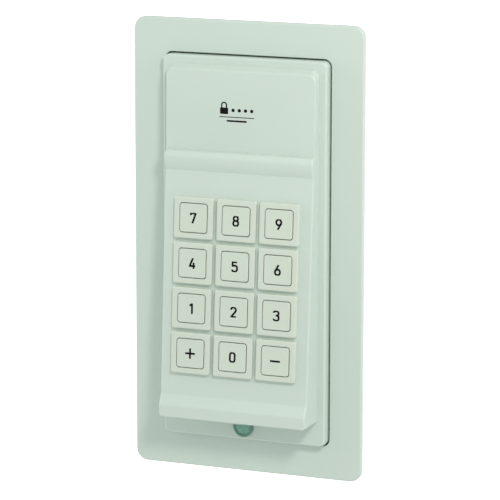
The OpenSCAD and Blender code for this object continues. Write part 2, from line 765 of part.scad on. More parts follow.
module cable_grommet() color("#1f2122")
    at_wall(-tray_depth) translate([0, grommet_z, 0]) difference() {
        union() {
            translate([0, 0, -1]) cylinder(r = grommet_r + grommet_lip, h = 1);
            cylinder(r = grommet_r, h = tray_depth + tray_floor_h);
            translate([0, 0, tray_depth + tray_floor_h]) cylinder(r = grommet_r + grommet_lip, h = 1);
        }
        translate([0, 0, -1 - past]) cylinder(r = grommet_bore_r, h = 4 + 2 * past);
    }

flush_box();
cover_frame();
housing_base();
base_screws();
cover_seal();
front_cover();
cover_screw();
lamp_lens();
status_led();
key_board();
key_board_screws();
contact_domes();
main_board();
board_screws();
processor_chip();
sounder();
relay();
terminal_block();
terminal_screws();
tamper_switch();
tamper_plunger();
ribbon_connectors();
ribbon_cable();
cable_grommet();
for (key = KEYS) key_housing(key);
for (key = KEYS) keycap(key);
for (key = KEYS) key_spring(key);
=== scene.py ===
"""Looks of a flush-mounted alarm keypad panel: trim frame, front cover, sprung keys, lamp and wall box."""

import json
import math

import bmesh
import bpy
from bpy.props import FloatProperty, FloatVectorProperty, PointerProperty
from mathutils import Matrix, Vector


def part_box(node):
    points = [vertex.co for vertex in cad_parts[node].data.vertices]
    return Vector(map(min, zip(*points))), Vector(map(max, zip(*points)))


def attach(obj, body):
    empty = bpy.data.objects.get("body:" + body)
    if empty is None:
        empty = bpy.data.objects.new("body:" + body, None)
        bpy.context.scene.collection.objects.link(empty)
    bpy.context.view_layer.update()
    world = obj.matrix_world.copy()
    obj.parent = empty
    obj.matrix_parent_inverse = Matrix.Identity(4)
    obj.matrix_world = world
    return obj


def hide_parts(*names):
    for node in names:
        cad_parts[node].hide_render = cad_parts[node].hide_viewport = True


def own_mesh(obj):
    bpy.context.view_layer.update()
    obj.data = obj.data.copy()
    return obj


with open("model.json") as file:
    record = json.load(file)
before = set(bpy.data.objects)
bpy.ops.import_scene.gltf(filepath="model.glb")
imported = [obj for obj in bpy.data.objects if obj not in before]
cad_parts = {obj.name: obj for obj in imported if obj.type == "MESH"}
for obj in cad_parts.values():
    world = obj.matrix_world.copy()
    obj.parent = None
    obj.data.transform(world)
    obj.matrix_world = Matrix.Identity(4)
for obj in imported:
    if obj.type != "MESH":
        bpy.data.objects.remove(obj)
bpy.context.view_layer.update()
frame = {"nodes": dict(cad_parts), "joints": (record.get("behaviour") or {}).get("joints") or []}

bl_info = {
    "name": "Alarm keypad panel",
    "version": (1, 0, 0),
    "blender": (4, 5, 0),
    "location": "3D View > Sidebar > Keypad",
    "description": "Builds the finished surfaces of a flush-mounted alarm keypad panel",
    "category": "Object",
}

# Meshes are shaped in millimetres in a flat frame: x across the panel, y up the wall, z out of it.
MM = 0.001


def mm(metres):
    """Millimetres of a length in metres."""
    return metres / MM


def box_mm(node):
    """Lowest and highest corner of a CAD node in millimetres: across, up, and out from the wall."""
    low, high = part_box(node)
    return (
        Vector((mm(low.x), mm(low.z), mm(WALL_Y - high.y))),
        Vector((mm(high.x), mm(high.z), mm(WALL_Y - low.y))),
    )


# The wall surface is at the front of the flush box.
WALL_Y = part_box("flush_box")[0].y
WALL = (
    Matrix.Translation((0, WALL_Y, 0))
    @ Matrix.Rotation(math.radians(90), 4, "X")
    @ Matrix.Scale(MM, 4)
)

# Keypad, in the rows that the panel shows
ROWS = (("7", "8", "9"), ("4", "5", "6"), ("1", "2", "3"), ("plus", "0", "minus"))
KEYS = [(name, row, column) for row, names in enumerate(ROWS) for column, name in enumerate(names)]
PRESS = {joint["child"]: Vector(joint["axis"]) for joint in frame["joints"]}
TILT = math.atan2(-PRESS["key_5"].z, PRESS["key_5"].y)
KEY_PITCH = box_mm("keycap_8")[0].x - box_mm("keycap_7")[0].x
BEZEL_W = box_mm("key_housing_7")[1].x - box_mm("key_housing_7")[0].x
CAP_W = box_mm("keycap_7")[1].x - box_mm("keycap_7")[0].x
CAP_GAP = 0.3
CAP_R = 1.0
CAP_WALL = 0.9
CAP_TOP = 2.1
CAP_CEILING = 1.0
DISH_RINGS = (0.12, 0.3, 0.5, 0.68, 0.84)
SKIRT_END = -1.9
STEM_R = 2.0
STEM_GAP = 0.05
STEM_END = -6.25
STEM_CHAMFER = 0.3
BEZEL_TOP = 1.85
BEZEL_R = 1.0
BEZEL_R_SHARE = 0.6
WELL_W = CAP_W + 2 * CAP_GAP
WELL_R = CAP_R + CAP_GAP
WELL_EDGE = 0.22
SLEEVE_W = WELL_W + 2.4
SLEEVE_END = -9.0
CHAMBER_W = SLEEVE_W - 3.2
WEB_TOP = -4.0
WEB_END = -5.5
SPRING_WIRE_R = 0.25
SPRING_STEPS = 24
MARGIN_TOP = 19.6
MARGIN_BOTTOM = 18.25

# Front cover
COVER_T = 2.0
PANEL_H = 10.7
PANEL_L = 34.1
BROW_H = 13.5
BROW_L = 8.3
BROW_R = BROW_H - PANEL_H
BROW_FALL_R = 12.0
BROW_FALL = math.asin((BROW_L - BROW_R) / BROW_FALL_R)
TOP_DRAFT = 1.6
SIDE_DRAFT = 0.5
BODY_R = 3.0
LIP_R = 1.2
LIP_SLOPE_L = 4.5
LIP_L = 9.7
CREASE_R = 0.35
LEDGE_SIDE = 3.2
LEDGE_TOP = 3.5
RIM_H = 6.4
SEAM_H = 4.0
HOUSING_R = 2.6
TONGUE_END_H = 1.0
TONGUE_INSET = 1.95
TONGUE_T = 1.2
LIP_H = box_mm("front_cover")[1].z
HOUSING_W = box_mm("front_cover")[1].x - box_mm("front_cover")[0].x
HOUSING_L = box_mm("front_cover")[1].y - box_mm("front_cover")[0].y
BODY_W = HOUSING_W - 2 * LEDGE_SIDE
FOOT_TOP_Z = HOUSING_L / 2 - LEDGE_TOP
PANEL_TOP_Z = FOOT_TOP_Z - TOP_DRAFT
BROW_TOP_Z = PANEL_TOP_Z - PANEL_L
BROW_CREST_Z = BROW_TOP_Z - BROW_R
FACE_TOP_Z = BROW_TOP_Z - BROW_L
FACE_TOP_H = BROW_H - BROW_FALL_R * (1 - math.cos(BROW_FALL))
FACE_L = (MARGIN_TOP + 3 * KEY_PITCH + MARGIN_BOTTOM) * math.cos(TILT)
LIP_TOP_Z = FACE_TOP_Z - FACE_L
LIP_CREST_Z = LIP_TOP_Z - LIP_SLOPE_L
UNDER_Z = LIP_TOP_Z - LIP_L
FACE_LOW_H = FACE_TOP_H + FACE_L * math.tan(TILT)

FACE = (
    WALL
    @ Matrix.Translation((0, FACE_TOP_Z, FACE_TOP_H))
    @ Matrix.Rotation(-TILT, 4, "X")
)

# Trim frame around the housing
FRAME_GAP = 0.67
FRAME_R = 5.2
FRAME_CHAMFER = 0.15
OPENING_EDGE = 0.35
COLLAR_T = 1.4
COLLAR_CHAMFER = 0.3
BARB_Z = 45.0
BARB_H = -4.5
BARB_SIZE = (1.8, 8.0, 1.6)
BARB_OUT = 0.5
BARB_SLOPE = 1.0

# Lamp in the lower ledge
LENS_R = (box_mm("lamp_lens")[1].x - box_mm("lamp_lens")[0].x) / 2
LENS_Z = (box_mm("lamp_lens")[1].y + box_mm("lamp_lens")[0].y) / 2
LENS_BACK = box_mm("lamp_lens")[0].z - RIM_H
LENS_FRONT = box_mm("lamp_lens")[1].z - RIM_H
LENS_EDGE = 0.45
GUIDE_R = 2.4
GUIDE_CHAMFER = 0.2

# Field of small prisms in the lens
FIELD_SHARE = 0.78
FIELD_FLOOR = 0.4
FIELD_CHAMFER = 0.1
PRISM_PLATE_H = 0.45
PRISM_PLATE_T = 0.12
PRISM_RISE = 0.22
PRISM_TURN = math.radians(38)

# Posts behind the keypad face
BOSS_R = 2.1
BOSS_L = 7.6
BOSS_DEPTH = 5.2

# Printed sign on the upper panel: its plates as width, length, rounding, across and up
SIGN_PLACE = (-1.5, 58.5)
SIGN_PLATES = (
    (3.6, 2.7, 0.45, -5.6, 0.9),
    (15.4, 0.32, 0.1, 0, -1.6),
    (9.0, 0.75, 0.35, 0, -3.2),
)
SHACKLE = [(-6.65, 2.0, 0), (-6.65, 4.4, 1.0), (-4.55, 4.4, 1.0), (-4.55, 2.0, 0)]
SHACKLE_WIRE = 0.00055
DOT_COUNT = 4
DOT_R = 0.72
DOT_PITCH = 2.75
DOT_START = (-1.6, 1.3)

# Rounding of the wall box and the tray, in metres
BOX_EDGE = 0.0004
TRAY_EDGE = 0.0002

# Depth to which printed ink reaches into what it is printed on
INK_SINK = 0.06
SIGN_SINK = 0.05

# Soft lights: name, azimuth and elevation in degrees, distance, size and colour
KEY_LIGHT = ("key_light", 38, 34, 0.7, 0.13, (1.0, 0.94, 0.92))
RIGHT_LIGHT = ("right_light", 80, 22, 0.9, 0.5, (1.0, 0.95, 0.97))
LEFT_LIGHT = ("left_light", -78, 10, 0.9, 0.5, (0.97, 1.0, 0.98))
TOP_LIGHT = ("top_light", -25, 74, 0.9, 0.5, (1.0, 1.0, 1.0))

# Shares of the side lights' power
RIGHT_SHARE = 0.6
TOP_SHARE = 0.15

# Ribbon cable, in metres
WIRE_PITCH = 0.00127
MARKED_EDGE = 0.0068

# Floor, surround and camera
FLOOR_HALF = 30.0
PAPER = (0.92, 0.92, 0.92)
SURROUND = (0.96, 1.0, 0.98, 1.0)
SENSOR_W = 36.0
CLIP = (0.01, 50.0)

# A corner of a rounded outline is made of this many pieces.
CORNER_STEPS = 7

# Legends as strokes: whether the stroke is closed, then its corners as across, up and rounding.
STROKES = {
    "0": [(True, [(-1.08, -1.98, 1.05), (1.08, -1.98, 1.05), (1.08, 1.98, 1.05), (-1.08, 1.98, 1.05)])],
    "1": [(False, [(-0.75, 1.15, 0), (0.4, 2.0, 0.1), (0.4, -2.35, 0)])],
    "2": [(False, [(-1.05, 0.95, 0), (-1.05, 1.98, 0.95), (1.08, 1.98, 1.0), (1.08, 0.55, 0.8),
                   (-0.98, -1.98, 0.05), (1.2, -1.98, 0)])],
    "3": [(False, [(-1.08, 1.25, 0), (-1.08, 1.98, 0.7), (1.0, 1.98, 0.85), (1.0, 0.14, 0.85),
                   (-0.25, 0.14, 0)]),
          (False, [(0.0, 0.14, 0), (1.1, 0.14, 0.9), (1.1, -1.98, 1.0), (-1.1, -1.98, 0.8),
                   (-1.1, -1.15, 0)])],
    "4": [(False, [(0.35, 2.3, 0), (-1.1, -1.1, 0.05), (1.4, -1.1, 0)]),
          (False, [(0.62, 0.35, 0), (0.62, -2.35, 0)])],
    "5": [(False, [(1.05, 1.98, 0), (-0.95, 1.98, 0.05), (-0.95, 0.4, 0.05), (1.1, 0.6, 1.0),
                   (1.1, -1.98, 1.05), (-1.08, -1.98, 0.8), (-1.08, -1.2, 0)])],
    "6": [(True, [(-1.08, -1.98, 1.0), (1.08, -1.98, 1.0), (1.08, 0.3, 1.0), (-1.08, 0.3, 0.9)]),
          (False, [(-0.95, -0.35, 0), (0.45, 2.35, 0)])],
    "7": [(False, [(-1.1, 1.1, 0), (-1.1, 1.98, 0.02), (1.08, 1.98, 0.05), (-0.4, -2.35, 0)])],
    "8": [(True, [(-0.95, 0.14, 0.8), (0.95, 0.14, 0.8), (0.95, 1.98, 0.85), (-0.95, 1.98, 0.85)]),
          (True, [(-1.1, -1.98, 0.95), (1.1, -1.98, 0.95), (1.1, 0.14, 0.9), (-1.1, 0.14, 0.9)])],
    "9": [(True, [(-1.08, -0.3, 1.0), (1.08, -0.3, 0.9), (1.08, 1.98, 1.0), (-1.08, 1.98, 1.0)]),
          (False, [(0.95, 0.35, 0), (-0.45, -2.35, 0)])],
    "plus": [(False, [(-2.2, 0, 0), (2.2, 0, 0)]), (False, [(0, -2.2, 0), (0, 2.2, 0)])],
    "minus": [(False, [(-2.2, 0, 0), (2.2, 0, 0)])],
}


class Value:
    """A number that changes over a surface. Arithmetic on it adds Math nodes to its material."""

    def __init__(self, finish, socket):
        self.finish = finish
        self.socket = socket

    def maths(self, operation, first, second):
        made = self.finish.node("ShaderNodeMath", {"operation": operation}, {0: first, 1: second})
        return Value(self.finish, made.outputs[0])

    def __add__(self, other):
        return self.maths("ADD", self, other)

    def __radd__(self, other):
        return self.maths("ADD", other, self)

    def __sub__(self, other):
        return self.maths("SUBTRACT", self, other)

    def __rsub__(self, other):
        return self.maths("SUBTRACT", other, self)

    def __mul__(self, other):
        return self.maths("MULTIPLY", self, other)

    def __rmul__(self, other):
        return self.maths("MULTIPLY", other, self)

    def __truediv__(self, other):
        return self.maths("DIVIDE", self, other)

    def __pow__(self, other):
        return self.maths("POWER", self, other)

    def above(self, other):
        return self.maths("GREATER_THAN", self, other)

    def fraction(self):
        return self.maths("FRACT", self, 0.0)


class Finish:
    """A procedural material and the nodes in it."""

    def __init__(self, name):
        self.material = bpy.data.materials.new(name)
        self.material.use_nodes = True
        self.tree = self.material.node_tree
        self.tree.nodes.clear()

    def node(self, kind, settings=None, sockets=None):
        """Adds a node, with its settings first and then the values or links of its sockets."""
        made = self.tree.nodes.new(kind)
        for name, setting in (settings or {}).items():
            setattr(made, name, setting)
        for name, given in (sockets or {}).items():
            if isinstance(name, int):
                socket = made.inputs[name]
            else:
                socket = next(s for s in made.inputs if name in (s.identifier, s.name))
            if isinstance(given, Value):
                given = given.socket
            if isinstance(given, bpy.types.NodeSocket):
                self.tree.links.new(given, socket)
            else:
                socket.default_value = given
        return made

    def place(self):
        """The surface's own coordinates, in metres."""
        return self.node("ShaderNodeTexCoord").outputs["Object"]

    def axes(self):
        parts = self.node("ShaderNodeSeparateXYZ", None, {0: self.place()})
        return [Value(self, socket) for socket in parts.outputs]

    def noise(self, scale, detail=2.0, roughness=0.5, place=None):
        made = self.node(
            "ShaderNodeTexNoise",
            None,
            {"Vector": place or self.place(), "Scale": scale, "Detail": detail, "Roughness": roughness},
        )
        return Value(self, made.outputs["Fac"])

    def mix(self, factor, first, second):
        made = self.node(
            "ShaderNodeMix",
            {"data_type": "RGBA"},
            {"Factor_Float": factor, "A_Color": first, "B_Color": second},
        )
        return next(socket for socket in made.outputs if socket.identifier == "Result_Color")

    def bump(self, height, strength, distance):
        made = self.node(
            "ShaderNodeBump",
            None,
            {"Height": height, "Strength": strength, "Distance": distance},
        )
        return made.outputs["Normal"]

    def surface(self, sockets):
        """Finishes the material with one principled shader."""
        shader = self.node("ShaderNodeBsdfPrincipled", None, sockets)
        self.node("ShaderNodeOutputMaterial", None, {"Surface": shader.outputs["BSDF"]})
        return self.material


def rgba(colour):
    return (*colour[:3], 1.0)


def shade(colour, amount):
    return (*[min(1.0, part * amount) for part in colour[:3]], 1.0)


def moulded_plastic(name, colour, grain=0.1, roughness=0.36, spread=0.02):
    """Satin moulded plastic: fine spark-eroded grain, faint flow marks and slightly uneven gloss."""
    finish = Finish(name)
    flow = finish.noise(22.0, 3.0)
    fine = finish.noise(5200.0, 2.0, 0.6)
    coarse = finish.noise(1500.0, 2.0)
    tint = finish.mix(flow, shade(colour, 1 - spread), shade(colour, 1 + spread))
    speck = finish.mix((fine - 0.5) * 0.25 + 0.5, shade(colour, 0.985), tint)
    return finish.surface(
        {
            "Base Color": finish.mix(0.85, speck, tint),
            "Roughness": roughness + (coarse - 0.5) * 0.12 + (flow - 0.5) * 0.08,
            "Normal": finish.bump(fine + coarse * 0.5, grain, 0.00004),
            "Specular IOR Level": 0.5,
        }
    )


def printed_ink(name, colour):
    """Screen-printed ink with a slightly broken film."""
    finish = Finish(name)
    film = finish.noise(2600.0, 2.0)
    return finish.surface(
        {
            "Base Color": finish.mix(film, shade(colour, 0.8), shade(colour, 1.3)),
            "Roughness": 0.6 + (film - 0.5) * 0.2,
            "Specular IOR Level": 0.08,
        }
    )


def plated_steel(name, colour):
    """Zinc-plated steel with fine turning marks and a few duller patches."""
    finish = Finish(name)
    across, out, up = finish.axes()
    turned = finish.node("ShaderNodeCombineXYZ", None, {0: across * 0.2, 1: out * 6.0, 2: up * 0.2})
    marks = finish.noise(2400.0, 3.0, 0.6, turned.outputs[0])
    patches = finish.noise(420.0, 2.0)
    return finish.surface(
        {
            "Base Color": finish.mix(patches, shade(colour, 0.82), rgba(colour)),
            "Metallic": 1.0,
            "Roughness": 0.26 + patches * 0.22,
            "Normal": finish.bump(marks, 0.15, 0.00003),
        }
    )


def soft_rubber(name, colour):
    """Matt rubber with a dusty bloom."""
    finish = Finish(name)
    bloom = finish.noise(260.0, 4.0)
    skin = finish.noise(3000.0, 2.0)
    return finish.surface(
        {
            "Base Color": finish.mix(bloom, rgba(colour), shade(colour, 2.2)),
            "Roughness": 0.72 + (bloom - 0.5) * 0.2,
            "Normal": finish.bump(skin, 0.2, 0.00005),
        }
    )


def circuit_board(name, colour):
    """Solder mask over copper: the tracks show as slightly raised, lighter lines."""
    finish = Finish(name)
    across, _, up = finish.axes()
    lane = finish.noise(90.0, 0.0)
    comb = ((across + up * lane.above(0.5)) * 650.0).fraction()
    track = comb.above(0.62) * finish.noise(55.0, 1.0).above(0.47)
    sheen = finish.noise(700.0, 2.0)
    return finish.surface(
        {
            "Base Color": finish.mix(track, rgba(colour), shade(colour, 1.8)),
            "Roughness": 0.3 + sheen * 0.12,
            "Normal": finish.bump(track, 0.3, 0.00004),
            "Coat Weight": 0.3,
        }
    )


def striped_ribbon(name, colour):
    """Flat cable: parallel wires under a grey skin, one edge marked."""
    finish = Finish(name)
    across = finish.axes()[0]
    wave = finish.node("ShaderNodeMath", {"operation": "SINE"}, {0: across * (2 * math.pi / WIRE_PITCH)})
    wires = Value(finish, wave.outputs[0]) * 0.5 + 0.5
    marked = across.above(MARKED_EDGE)
    body = finish.mix(wires, shade(colour, 0.75), shade(colour, 1.15))
    return finish.surface(
        {
            "Base Color": finish.mix(marked, body, (0.35, 0.04, 0.03, 1.0)),
            "Roughness": 0.5 + wires * 0.1,
            "Normal": finish.bump(wires, 0.5, 0.0002),
        }
    )


def tinted_lens(name, colour, centre, radius):
    """Clear tinted lens: deep colour in its rim, paler over the prisms."""
    finish = Finish(name)
    across, _, up = finish.axes()
    side = across - centre[0]
    rise = up - centre[1]
    reach = (side * side + rise * rise) ** 0.5
    rim = (reach / radius).above(0.78)
    cloud = finish.noise(900.0, 2.0)
    body = finish.mix(cloud, shade(colour, 1.05), shade(colour, 1.75))
    return finish.surface(
        {
            "Base Color": finish.mix(rim, body, shade(colour, 0.8)),
            "Roughness": 0.16 + cloud * 0.12,
            "Coat Weight": 0.6,
            "Coat Roughness": 0.08,
            "IOR": 1.49,
            "Transmission Weight": 0.15,
        }
    )


def gold_contact(name, colour):
    """Gold-plated spring metal, duller where it is worn."""
    finish = Finish(name)
    wear = finish.noise(1500.0, 3.0)
    return finish.surface(
        {
            "Base Color": finish.mix(wear, shade(colour, 0.8), rgba(colour)),
            "Metallic": 1.0,
            "Roughness": 0.2 + wear * 0.15,
        }
    )


def studio_paper(name, colour, glow):
    """Pale paper with a painted glow: it gives off light that rises from dim to full where it runs out behind
    the panel.
    """
    finish = Finish(name)
    fibre = finish.noise(40.0, 3.0)
    depth = finish.axes()[1]
    # painted glow: the floor's emission ramps up with depth behind the panel and stands in for light falling
    # on the paper
    painted_glow = finish.node("ShaderNodeMapRange", {"interpolation_type": "SMOOTHSTEP"},
                      {"Value": depth, "From Min": 0.6, "From Max": 1.9, "To Min": 0.0, "To Max": 1.0})
    painted_glow = Value(finish, painted_glow.outputs["Result"])
    return finish.surface(
        {
            "Base Color": finish.mix(fibre, shade(colour, 0.995), rgba(colour)),
            "Roughness": 0.9,
            "Specular IOR Level": 0.1,
            "Emission Color": finish.mix(painted_glow, (0.12, 0.12, 0.12, 1.0), (1.0, 1.0, 1.0, 1.0)),
            "Emission Strength": glow,
        }
    )


def length(name, description, metres):
    """A length setting of the panel."""
    return FloatProperty(name=name, description=description, default=metres, unit="LENGTH")


def angle(name, description, degrees):
    """An angle setting of the camera."""
    return FloatProperty(name=name, description=description, default=math.radians(degrees), subtype="ANGLE")


def tinted(name, colour):
    """A colour setting of the panel."""
    return FloatVectorProperty(
        name=name,
        description=f"Colour of the {name.lower()}",
        subtype="COLOR",
        size=3,
        min=0.0,
        max=1.0,
        default=colour,
    )


class KeypadSizes(bpy.types.PropertyGroup):
    frame_edge: length("Frame edge", "Rounding of the trim frame's front edge", 0.0009)
    rim_edge: length("Cover rim", "Rounding of the cover's rim", 0.0009)
    body_edge: length("Body edge", "Rounding along the raised body's outline", 0.0006)
    seam: length("Parting line", "Chamfer along the cover's parting line", 0.0002)
    bezel_edge: length("Bezel edge", "Rounding of a bezel's outer edge", 0.0006)
    cap_edge: length("Cap edge", "Rounding of a cap's edge", 0.00035)
    cap_dish: length("Cap dish", "How far a cap's top dips in its middle", 0.00018)
    stroke: length("Legend stroke", "Width of a legend's strokes", 0.00084)
    ink: length("Ink film", "How far printed ink stands proud", 0.00003)
    spring_turns: FloatProperty(
        name="Spring turns", description="Turns in a key's return spring", default=3.5, min=1.0
    )
    prism: length("Lens prism", "Width of one prism in the lamp's lens", 0.0008)


class KeypadColours(bpy.types.PropertyGroup):
    shell: tinted("Shell", (0.572, 0.665, 0.6))
    bezels: tinted("Bezels", (0.6, 0.665, 0.575))
    caps: tinted("Caps", (0.585, 0.66, 0.565))
    ink: tinted("Ink", (0.006, 0.006, 0.007))
    box: tinted("Wall box", (0.035, 0.038, 0.042))
    steel: tinted("Steel", (0.6, 0.61, 0.62))
    rubber: tinted("Rubber", (0.018, 0.018, 0.02))
    lens: tinted("Lens", (0.15, 0.34, 0.26))
    board: tinted("Boards", (0.03, 0.13, 0.065))


class KeypadStage(bpy.types.PropertyGroup):
    camera_place: FloatVectorProperty(
        name="Camera", description="Where the camera stands", subtype="TRANSLATION", unit="LENGTH",
        default=(0.450593, -1.169656, 0.245410),
    )
    yaw: angle("Yaw", "Turn of the camera to its left", 21.527)
    pitch: angle("Pitch", "How far the camera looks down", 11.339)
    roll: angle("Roll", "Turn of the camera about its own line", 0.0705)
    lens: FloatProperty(name="Lens", description="Focal length in millimetres", default=214.888)
    floor_drop: length("Floor drop", "Distance from the panel's centre down to the floor", 0.75)
    key_power: FloatProperty(
        name="Key light", description="Power of the soft key light", default=1.95, unit="POWER"
    )
    surround: FloatProperty(name="Surround", description="Strength of the pale surround", default=0.64)
    side_power: FloatProperty(
        name="Side lights", description="Power of the side and top lights", default=2.2, unit="POWER"
    )
    floor_glow: FloatProperty(
        name="Floor glow", description="Light that the floor gives off behind the panel", default=1.2
    )


# Shaping


def round_off(bm, geometry, radius, steps, affect="EDGES", **details):
    """Rounds edges or corners, each with that many pieces."""
    return bmesh.ops.bevel(
        bm, geom=geometry, offset=radius, offset_type="OFFSET", segments=steps, profile=0.5,
        affect=affect, material=-1, **details,
    )


def verts_of(geometry):
    """The vertices among what an operation has made."""
    return [part for part in geometry if isinstance(part, bmesh.types.BMVert)]


def ring(bm, width, length, radius, height, shift=0.0):
    """Adds a rounded rectangle of edges at a height above the flat frame."""
    corners = bmesh.ops.create_grid(bm, x_segments=1, y_segments=1, size=0.5)["verts"]
    bmesh.ops.scale(bm, vec=(width, length, 1), verts=corners)
    bmesh.ops.translate(bm, vec=(0, shift, height), verts=corners)
    rounded = round_off(bm, corners, radius, CORNER_STEPS, "VERTICES")
    face = rounded["verts"][0].link_faces[0]
    edges = list(face.edges)
    bmesh.ops.delete(bm, geom=[face], context="FACES_ONLY")
    return edges


def square(bm, width, radius, height):
    """Adds a rounded square of edges at a height above the flat frame."""
    return ring(bm, width, width, radius, height)


def circle(bm, radius, height, segments=4 * (CORNER_STEPS + 1)):
    """Adds a circle of edges, by default with as many as a rounded rectangle has."""
    made = bmesh.ops.create_circle(bm, cap_ends=False, segments=segments, radius=radius)["verts"]
    bmesh.ops.translate(bm, vec=(0, 0, height), verts=made)
    return list({edge for vert in made for edge in vert.link_edges})


def skin(bm, rings):
    """Bridges each ring to the next."""
    for first, second in zip(rings, rings[1:]):
        bmesh.ops.bridge_loops(bm, edges=first + second)


def cap(bm, edges):
    """Closes a ring with one face."""
    bmesh.ops.edgeloop_fill(bm, edges=edges)


def quarter(radius, steps=4):
    """Points of a quarter round as (inset, rise), from the side of an edge to its top."""
    for step in range(steps + 1):
        turn = math.pi / 2 * step / steps
        yield radius * (1 - math.cos(turn)), radius * math.sin(turn)


def face_of(bm, points):
    """Adds one face through the given corners."""
    return bm.faces.new([bm.verts.new(point) for point in points])


def soften_shading(bm, angle=math.radians(32)):
    """Shades faces smooth, with an edge kept sharp where it turns by more than the angle."""
    for face in bm.faces:
        face.smooth = True
    for edge in bm.edges:
        edge.smooth = edge.calc_face_angle(math.pi) < angle


def finish_piece(name, bm, place, material, body, nodes=(), closed=True):
    """Places a mesh in the panel with its material, its body and the CAD nodes it stands for."""
    bmesh.ops.remove_doubles(bm, verts=bm.verts, dist=1e-4)
    if closed:
        bmesh.ops.recalc_face_normals(bm, faces=bm.faces)
    soften_shading(bm)
    bm.transform(place)
    mesh = bpy.data.meshes.new(name)
    bm.to_mesh(mesh)
    bm.free()
    piece = bpy.data.objects.new(name, mesh)
    bpy.context.scene.collection.objects.link(piece)
    mesh.materials.append(material)
    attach(piece, body)
    if nodes:
        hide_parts(*nodes)
    return piece


def weighted(piece):
    """Keeps flat faces flat where they meet a rounding."""
    modifier = piece.modifiers.new("Flat faces", "WEIGHTED_NORMAL")
    modifier.keep_sharp = True
    modifier.weight = 100


def finish_named(name, make, *details):
    """The material of that name, made the first time it is asked for."""
    return bpy.data.materials.get(name) or make(name, *details)


def plastic(name, *details):
    """A moulded plastic of that name, made the first time it is asked for."""
    return finish_named(name, moulded_plastic, *details)


def shell_finish(context):
    return finish_named("shell_plastic", moulded_plastic, context.scene.keypad_colours.shell)


def bezel_finish(context):
    return finish_named("bezel_plastic", moulded_plastic, context.scene.keypad_colours.bezels)


def steel_finish(context):
    return finish_named("plated_steel", plated_steel, context.scene.keypad_colours.steel)


def ink_finish(context):
    return finish_named("printed_ink", printed_ink, context.scene.keypad_colours.ink)


def at_key(row, column):
    return FACE @ Matrix.Translation(((column - 1) * KEY_PITCH, -(MARGIN_TOP + row * KEY_PITCH), 0))


# Raised body of the front cover


def side_outline(inset, foot, crease):
    """Corners of the body's side outline as (place, height, rounding), inset, standing on height foot."""
    fall_r = BROW_FALL_R - inset
    tangent = fall_r * math.tan(BROW_FALL / 2)
    low_h = FACE_LOW_H - inset
    return [
        (FOOT_TOP_Z - inset, foot, 0),
        (PANEL_TOP_Z - inset, PANEL_H - inset, 0),
        (BROW_TOP_Z - inset, PANEL_H - inset, 0),
        (BROW_TOP_Z - inset, BROW_H - inset, BROW_R - inset),
        (BROW_CREST_Z - tangent, BROW_H - inset, tangent * 0.98),
        (BROW_CREST_Z - fall_r * math.sin(BROW_FALL), BROW_H - BROW_FALL_R + fall_r * math.cos(BROW_FALL), 0),
        (LIP_TOP_Z, low_h, crease),
        (LIP_CREST_Z, LIP_H - inset, crease),
        (UNDER_Z + inset, LIP_H - inset, 0),
        (UNDER_Z + inset, foot, 0),
    ]


def is_wall(face):
    """Whether a face belongs to the body's outer walls and not to its front."""
    centre = face.calc_center_median()
    at_end = centre.y > PANEL_TOP_Z - BODY_R - 1 or centre.y < UNDER_Z + LIP_R + COVER_T + 0.1
    return abs(face.normal.z) < 0.5 and (abs(face.normal.x) > 0.3 or (at_end and abs(face.normal.z) < 0.45))


def body_skin(inset, foot, crease, edge):
    """One skin of the raised body, open at its foot and with a window for each key."""
    bm = bmesh.new()
    width = BODY_W - 2 * inset
    outline = side_outline(inset, foot, crease)
    side = face_of(bm, [(-width / 2, place, height) for place, height, _ in outline])
    for vert, (_, _, rounding) in zip(list(side.verts), outline):
        if rounding:
            round_off(bm, [vert], rounding, 8, "VERTICES")
    pulled = bmesh.ops.extrude_face_region(bm, geom=list(bm.faces))
    bmesh.ops.translate(bm, vec=(width, 0, 0), verts=verts_of(pulled["geom"]))
    bmesh.ops.recalc_face_normals(bm, faces=bm.faces)
    for low, high, radius, steps in (
        (PANEL_TOP_Z - inset - 0.1, 1000, max(BODY_R - inset, 0.5), 8),
        (-1000, UNDER_Z + inset + 0.1, max(LIP_R - inset, 0.4), 5),
    ):
        uprights = [
            e for e in bm.edges
            if abs(e.verts[0].co.x - e.verts[1].co.x) < 0.01
            and abs(e.verts[0].co.z - e.verts[1].co.z) > 1
            and all(low < v.co.y < high for v in e.verts)
        ]
        round_off(bm, uprights, radius, steps)
    underside = [f for f in bm.faces if abs(f.calc_center_median().z - foot) < 0.01]
    bmesh.ops.delete(bm, geom=underside, context="FACES")
    if edge:
        shared = [e for e in bm.edges if len(e.link_faces) == 2]
        rim = [e for e in shared if is_wall(e.link_faces[0]) != is_wall(e.link_faces[1])]
        round_off(bm, rim, edge, 4, miter_outer="SHARP", miter_inner="SHARP")
    cut_windows(bm)
    return bm


def keypad_faces(bm):
    """Faces that lie in the sloping keypad face or parallel to it."""
    outward = Vector((0, -math.sin(TILT), math.cos(TILT)))
    return [
        f for f in bm.faces
        if abs(f.normal.dot(outward)) > 0.9999 and LIP_TOP_Z < f.calc_center_median().y < FACE_TOP_Z
    ]


